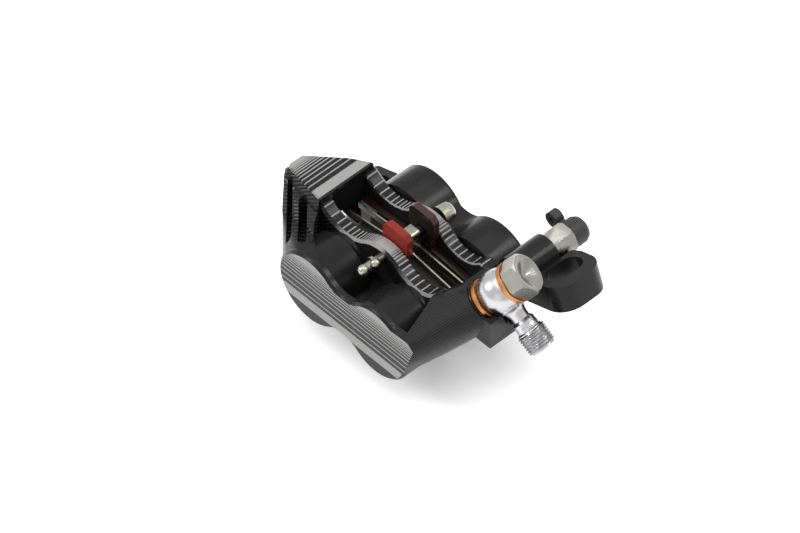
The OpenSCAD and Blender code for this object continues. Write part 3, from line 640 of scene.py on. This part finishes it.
def mesh_of(name, shells):
    """One mesh from several closed shells of points and quads, in millimetres."""
    merge_reach = 1e-7
    smooth_within = 32.0
    points = np.vstack([shell[0] for shell in shells]) * MM
    starts = np.cumsum([0] + [len(shell[0]) for shell in shells[:-1]])
    faces = np.vstack([shell[1] + start for shell, start in zip(shells, starts)])
    mesh = bpy.data.meshes.new(name)
    mesh.from_pydata(points.tolist(), [], faces.tolist())
    work = bmesh.new()
    work.from_mesh(mesh)
    bmesh.ops.remove_doubles(work, verts=work.verts, dist=merge_reach)
    bmesh.ops.recalc_face_normals(work, faces=work.faces)
    work.to_mesh(mesh)
    work.free()
    mesh.shade_smooth()
    mesh.set_sharp_from_angle(angle=math.radians(smooth_within))
    return mesh


def banjo_eye():
    """The ball of the banjo: an arc between two flats and the bore back through it, turned round the bolt."""
    arc_points = 41
    step = 0.5
    latitude = np.arcsin(EYE_HALF / BALL_R)
    sweep = np.linspace(-latitude, latitude, arc_points)
    outside = np.stack([BALL_R * np.cos(sweep), BALL_R * np.sin(sweep)], axis=1)
    loop = np.vstack([outside, [[EYE_BORE, EYE_HALF], [EYE_BORE, -EYE_HALF]], outside[:1]])
    profile = resample(loop, step)
    radius = np.repeat(profile[:, :1], POINTS_ROUND, axis=1)
    return turned_shell(profile[:, 1], radius, port_axes()[0], np.array(BALL_AT))


def arm_profile(thread_start):
    """Half outline of the banjo arm as (radius, along) pairs: a neck whose radius falls off from the ball as
    an exponential, a collar, an undercut, the chamfered stub and the hose bore back into it."""
    root = 4.4
    neck_end = 8.0
    neck_points = 20
    swell = 1.5
    swell_at = 5.0
    swell_fade = 0.8
    most_swell = 1.2
    undercut_r = 3.1
    chamfer = 0.8
    bore_chamfer = 0.5
    step = 0.07
    reach = np.linspace(root, neck_end, neck_points)
    neck_r = ARM_R + swell * np.exp(-(reach - swell_at) / swell_fade).clip(0, most_swell)
    collar = [[ARM_R, thread_start - 3.0], [COLLAR_R, thread_start - 2.2], [COLLAR_R, thread_start - 1.3],
              [undercut_r, thread_start - 0.6], [undercut_r, thread_start]]
    stub = [[THREAD_R, thread_start + chamfer], [THREAD_R, ARM_LEN - chamfer], [THREAD_R - chamfer, ARM_LEN]]
    bore = [[HOSE_BORE_R + bore_chamfer, ARM_LEN], [HOSE_BORE_R, ARM_LEN - bore_chamfer],
            [HOSE_BORE_R, thread_start], [0.0, thread_start]]
    neck = np.stack([neck_r, reach], axis=1)
    return resample(np.vstack([[[0.0, root]], neck, collar, stub, bore]), step)


def banjo_arm():
    """The arm: its profile turned round its axis. The thread takes away a V that runs once round in each
    pitch, fading in and out at the ends of the stub."""
    thread_start = ARM_LEN - THREAD_LEN
    first_cut = thread_start + 0.2
    last_cut = ARM_LEN - 0.1
    fade_in = 0.6
    fade_out = 0.5
    least_r = COLLAR_R - 0.3
    steepness = 1.25
    crest_flat = 0.12
    profile = arm_profile(thread_start)
    along = profile[:, 1]
    share_of_turn = np.linspace(0.0, 1.0, POINTS_ROUND, endpoint=False)
    winding = along[:, None] / THREAD_PITCH - share_of_turn[None]
    valley = 1.0 - np.abs(2.0 * (winding - np.floor(winding)) - 1.0)
    outside = profile[:, 0] > least_r
    fade = np.clip((along - first_cut) / fade_in, 0, 1) * np.clip((last_cut - along) / fade_out, 0, 1)
    cut = THREAD_DEPTH * (fade * outside)[:, None] * np.clip(steepness * valley - crest_flat, 0, 1)
    radius = np.repeat(profile[:, :1], POINTS_ROUND, axis=1) - cut
    return turned_shell(along, radius, port_axes()[1], np.array(BALL_AT))


finishes = make_finishes()
bodies = frame["record"]["behaviour"]["bodies"]
body_of_node = {node: body for body, nodes in bodies.items() for node in nodes}
slot_of_node = {part["node"]: part["material_slot"] for part in frame["record"]["subparts"]}


def finish_of(node):
    """The finish of a node: plain black on the bore caps, a node's own finish, or else that of its slot."""
    if node.endswith("bore_cap"):
        return finishes["plain_black"]
    return finishes.get(node) or finishes[slot_of_node[node]]


for node, part in frame["nodes"].items():
    body = body_of_node[node]
    material = finish_of(node)
    if node == "hose_banjo":
        turned = mesh_of("hose_banjo_turned", [banjo_eye(), banjo_arm()])
        banjo = add_piece("hose_banjo_turned", turned, material, body)
        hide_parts(node)
    elif node in EDGE_BREAKS:
        smooth_copy(node, body, material, EDGE_BREAKS[node])
    else:
        part.data.materials.clear()
        part.data.materials.append(material)


# Floor, light and camera


def seen_directly(tree):
    """1 for rays from the camera, from mirrors and through glass, which see the background as white."""
    path = tree.nodes.new("ShaderNodeLightPath")
    share = path.outputs["Is Camera Ray"]
    for name in ("Is Glossy Ray", "Is Transmission Ray"):
        either = tree.nodes.new("ShaderNodeMath")
        either.operation = "MAXIMUM"
        tree.links.new(share, either.inputs[0])
        tree.links.new(path.outputs[name], either.inputs[1])
        share = either.outputs[0]
    return share


def pale_floor(height):
    """A wide pale floor under the part, which reads as white where it is open to the sky. Its white lift,
    seen by the camera and in mirrors, fades with ambient occlusion close under the part: a painted shadow
    there, besides the lamps' shadow."""
    half = 3.0
    shadow_reach = 0.035
    corners = [(-half, -half, height), (half, -half, height), (half, half, height), (-half, half, height)]
    mesh = bpy.data.meshes.new("floor")
    mesh.from_pydata(corners, [], [(0, 1, 2, 3)])
    material = bpy.data.materials.new("pale_floor")
    material.use_nodes = True
    tree = material.node_tree
    shader = tree.nodes["Principled BSDF"]
    shader.inputs["Base Color"].default_value = (0.86, 0.86, 0.86, 1.0)
    shader.inputs["Roughness"].default_value = 0.9
    shader.inputs["Specular IOR Level"].default_value = 0.1
    shader.inputs["Emission Color"].default_value = (1.0, 1.0, 1.0, 1.0)
    # painted shadow: the emitted lift is cut by ambient occlusion where the part is close above
    open_sky = tree.nodes.new("ShaderNodeAmbientOcclusion")
    open_sky.inputs["Distance"].default_value = shadow_reach
    lift = tree.nodes.new("ShaderNodeMath")
    lift.operation = "MULTIPLY"
    tree.links.new(seen_directly(tree), lift.inputs[0])
    tree.links.new(open_sky.outputs["AO"], lift.inputs[1])
    tree.links.new(lift.outputs[0], shader.inputs["Emission Strength"])
    mesh.materials.append(material)
    floor = bpy.data.objects.new("floor", mesh)
    bpy.context.scene.collection.objects.link(floor)


def soft_box(name, direction, distance, size, power):
    """A square area lamp that looks at the part from a direction, in metres and watts."""
    lamp = bpy.data.lights.new(name, "AREA")
    lamp.shape = "SQUARE"
    lamp.size = size
    lamp.energy = power
    holder = bpy.data.objects.new(name, lamp)
    towards = Vector(direction).normalized()
    holder.location = towards * distance
    holder.rotation_euler = towards.to_track_quat("Z", "Y").to_euler()
    bpy.context.scene.collection.objects.link(holder)


def studio_world(strength):
    """An even pale surround: white to the camera and in mirrors, dimmer as light on the part."""
    world = bpy.data.worlds.new("studio")
    bpy.context.scene.world = world
    world.use_nodes = True
    tree = world.node_tree
    background = tree.nodes["Background"]
    background.inputs["Color"].default_value = (1.0, 1.0, 1.0, 1.0)
    level = tree.nodes.new("ShaderNodeMapRange")
    level.inputs["To Min"].default_value = strength
    level.inputs["To Max"].default_value = 1.0
    tree.links.new(seen_directly(tree), level.inputs["Value"])
    tree.links.new(level.outputs["Result"], background.inputs["Strength"])


def photo_camera():
    """A long lens at the photograph's angle: its image is 800 by 533, at about 4 pixels to the millimetre."""
    azimuth = math.radians(46.7)
    elevation = math.radians(48.0)
    distance = 2.0
    aim_right = -2.75
    aim_up = 0.3
    level_reach = math.cos(elevation)
    back = Vector((math.sin(azimuth) * level_reach, -math.cos(azimuth) * level_reach, math.sin(elevation)))
    right = Vector((math.cos(azimuth), math.sin(azimuth), 0.0))
    up = back.cross(right)
    target = (right * aim_right + up * aim_up) * MM
    lens = bpy.data.cameras.new("photo_camera")
    lens.sensor_width = 36.0
    lens.lens = 360.0
    lens.clip_start = 0.1
    lens.clip_end = 20.0
    camera = bpy.data.objects.new("photo_camera", lens)
    camera.location = target + back * distance
    camera.rotation_mode = "QUATERNION"
    camera.rotation_quaternion = (-back).to_track_quat("-Z", "Y")
    bpy.context.scene.collection.objects.link(camera)
    bpy.context.scene.camera = camera


pale_floor(cad_low.z)
soft_box("key", (-0.52, -0.62, 0.58), distance=1.4, size=0.4, power=7.5)
soft_box("top", (-0.05, 0.0, 1.0), distance=1.5, size=1.6, power=10.0)
soft_box("back", (0.38, 0.46, 0.80), distance=1.5, size=0.4, power=5.0)
soft_box("front", (0.6, -0.9, 0.35), distance=1.6, size=0.9, power=1.0)
studio_world(0.4)
photo_camera()
bpy.context.scene.view_settings.view_transform = "Standard"
